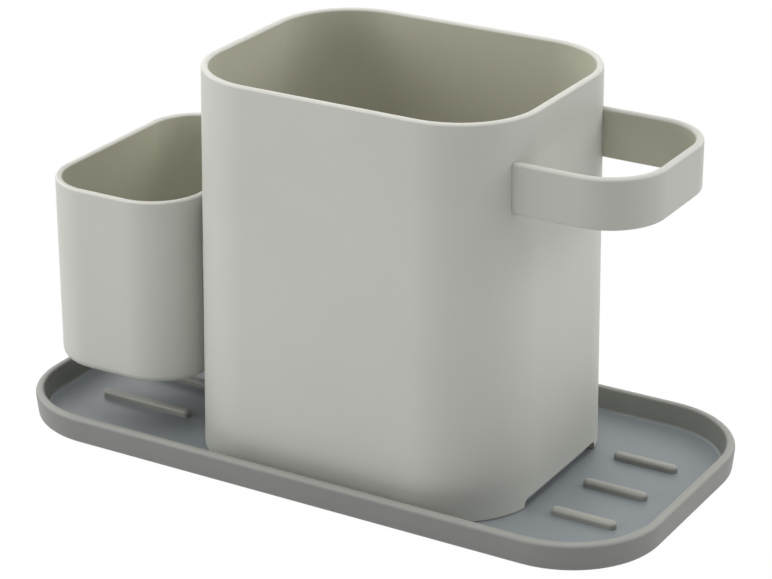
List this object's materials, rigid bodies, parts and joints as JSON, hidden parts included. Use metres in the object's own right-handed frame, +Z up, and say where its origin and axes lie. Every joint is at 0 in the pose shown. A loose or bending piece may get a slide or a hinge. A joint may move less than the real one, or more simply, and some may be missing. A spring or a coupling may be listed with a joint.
{
  "type": "kitchen sink caddy",
  "caption": "Sink organizer: a tall rounded caddy with a cloth rail and a hook-on small caddy, standing on a rimmed drip tray with drain ribs.",
  "frame": {"origin": "on the worktop under the middle of the drip tray", "axes": "+X along the tray towards the cloth rail, -Y is the front, +Z up"},
  "size_m": [0.2614, 0.1282, 0.1508],
  "materials": {
    "caddy_plastic": "fine matte moulded polypropylene, light warm grey",
    "tray_plastic": "satin moulded polypropylene, mid warm grey",
    "foot_rubber": "soft non-slip rubber, dark grey"
  },
  "bodies": {
    "tray_body": {"drip_tray": "tray_plastic", "front_left_foot": "foot_rubber", "front_right_foot": "foot_rubber", "rear_left_foot": "foot_rubber", "rear_right_foot": "foot_rubber"},
    "caddy_body": {"main_caddy": "caddy_plastic", "cloth_rail": "caddy_plastic"},
    "small_caddy_body": {"small_caddy": "caddy_plastic"}
  },
  "joints": [
    {"name": "caddy_lift", "type": "slide", "parent": "tray_body", "child": "caddy_body", "axis": [0, 0, 1], "range_m": [0, 0.05]},
    {"name": "small_caddy_lift", "type": "slide", "parent": "caddy_body", "child": "small_caddy_body", "axis": [0, 0, 1], "range_m": [0, 0.055]}
  ]
}
